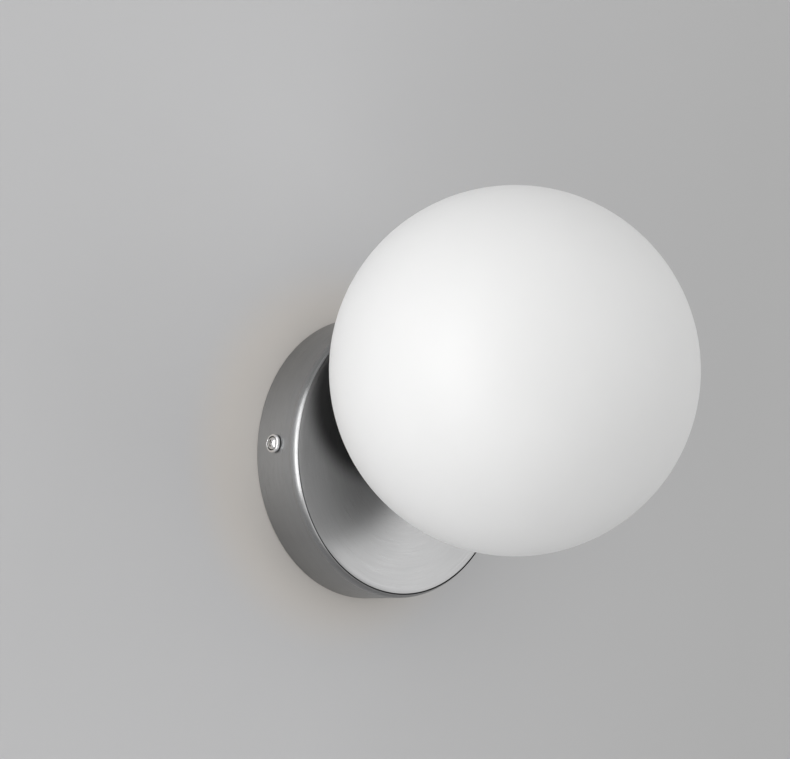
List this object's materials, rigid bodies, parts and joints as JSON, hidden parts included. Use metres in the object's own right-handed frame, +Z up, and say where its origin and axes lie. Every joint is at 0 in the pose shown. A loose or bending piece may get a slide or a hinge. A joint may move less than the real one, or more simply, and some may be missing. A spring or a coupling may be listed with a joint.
{
  "type": "globe wall sconce",
  "caption": "Wall light with an opal glass globe that screws into a metal collar, set off centre in a round brushed metal canopy held by side screws.",
  "frame": {"origin": "centre of the canopy's back rim, on the wall plane, midway between the two fixing slots", "axes": "+Z up, +X to the right seen from the room, the lamp stands out from the wall along -Y"},
  "size_m": [0.15, 0.175, 0.1659],
  "materials": {
    "brushed_nickel": "satin, brushed round the face and round the side",
    "zinc_steel": "bright zinc plating",
    "zinc_screw": "bright zinc plating",
    "black_rubber": "matt",
    "bright_chrome": "polished",
    "plated_collar": "satin plating",
    "clear_silicone": "translucent matt",
    "opal_glass": "satin opal, opaque white",
    "ceramic": "glazed",
    "spring_metal": "plain spring metal",
    "bulb_plastic": "smooth",
    "bulb_cover": "frosted",
    "core_metal": "satin",
    "terminal_plastic": "moulded",
    "clamp_brass": "plain"
  },
  "bodies": {
    "wall_unit": {"canopy": "brushed_nickel", "mounting_bracket": "zinc_steel", "cable_grommet": "black_rubber", "fitter_collar": "plated_collar", "fitter_ring_nut": "zinc_steel", "lampholder_body": "ceramic", "lampholder_contacts": "spring_metal", "lampholder_strap": "zinc_steel", "lampholder_screws": "zinc_screw", "terminal_block": "terminal_plastic", "terminal_clamps": "clamp_brass", "terminal_screws": "zinc_screw", "terminal_fixing_screw": "zinc_screw", "earth_screw": "clamp_brass", "earth_washer": "spring_metal"},
    "globe_seal": {"globe_seal": "clear_silicone"},
    "globe": {"globe": "opal_glass"},
    "bulb": {"bulb_base": "bulb_plastic", "bulb_pins": "spring_metal", "bulb_cover": "bulb_cover", "bulb_light_core": "core_metal"},
    "washer_left": {"side_washer_left": "bright_chrome"},
    "washer_right": {"side_washer_right": "bright_chrome"},
    "screw_left": {"side_screw_left": "bright_chrome"},
    "screw_right": {"side_screw_right": "bright_chrome"}
  },
  "joints": [
    {"name": "globe_turn", "type": "hinge", "parent": "wall_unit", "child": "globe_seal", "pos_m": [-0.01004, -0.1, 0.03091], "axis": [0, -1, 0], "range_deg": [0, 1080]},
    {"name": "globe_travel", "type": "slide", "parent": "globe_seal", "child": "globe", "axis": [0, -1, 0], "range_m": [0, 0.012]},
    {"name": "bulb_pull", "type": "slide", "parent": "wall_unit", "child": "bulb", "axis": [0, -1, 0], "range_m": [0, 0.015]},
    {"name": "side_screw_left_travel", "type": "slide", "parent": "wall_unit", "child": "washer_left", "axis": [-1, 0, 0], "range_m": [0, 0.0045]},
    {"name": "side_screw_left_turn", "type": "hinge", "parent": "washer_left", "child": "screw_left", "pos_m": [-0.06, -0.0112, 0], "axis": [-1, 0, 0], "range_deg": [0, 3240]},
    {"name": "side_screw_right_travel", "type": "slide", "parent": "wall_unit", "child": "washer_right", "axis": [1, 0, 0], "range_m": [0, 0.0045]},
    {"name": "side_screw_right_turn", "type": "hinge", "parent": "washer_right", "child": "screw_right", "pos_m": [0.06, -0.0112, 0], "axis": [1, 0, 0], "range_deg": [0, 3240]}
  ],
  "couplings": [
    {"joint": "globe_travel", "follows": "globe_turn", "m_per_rad": 0.00063662},
    {"joint": "side_screw_left_turn", "follows": "side_screw_left_travel", "rad_per_m": 12566},
    {"joint": "side_screw_right_turn", "follows": "side_screw_right_travel", "rad_per_m": 12566}
  ]
}
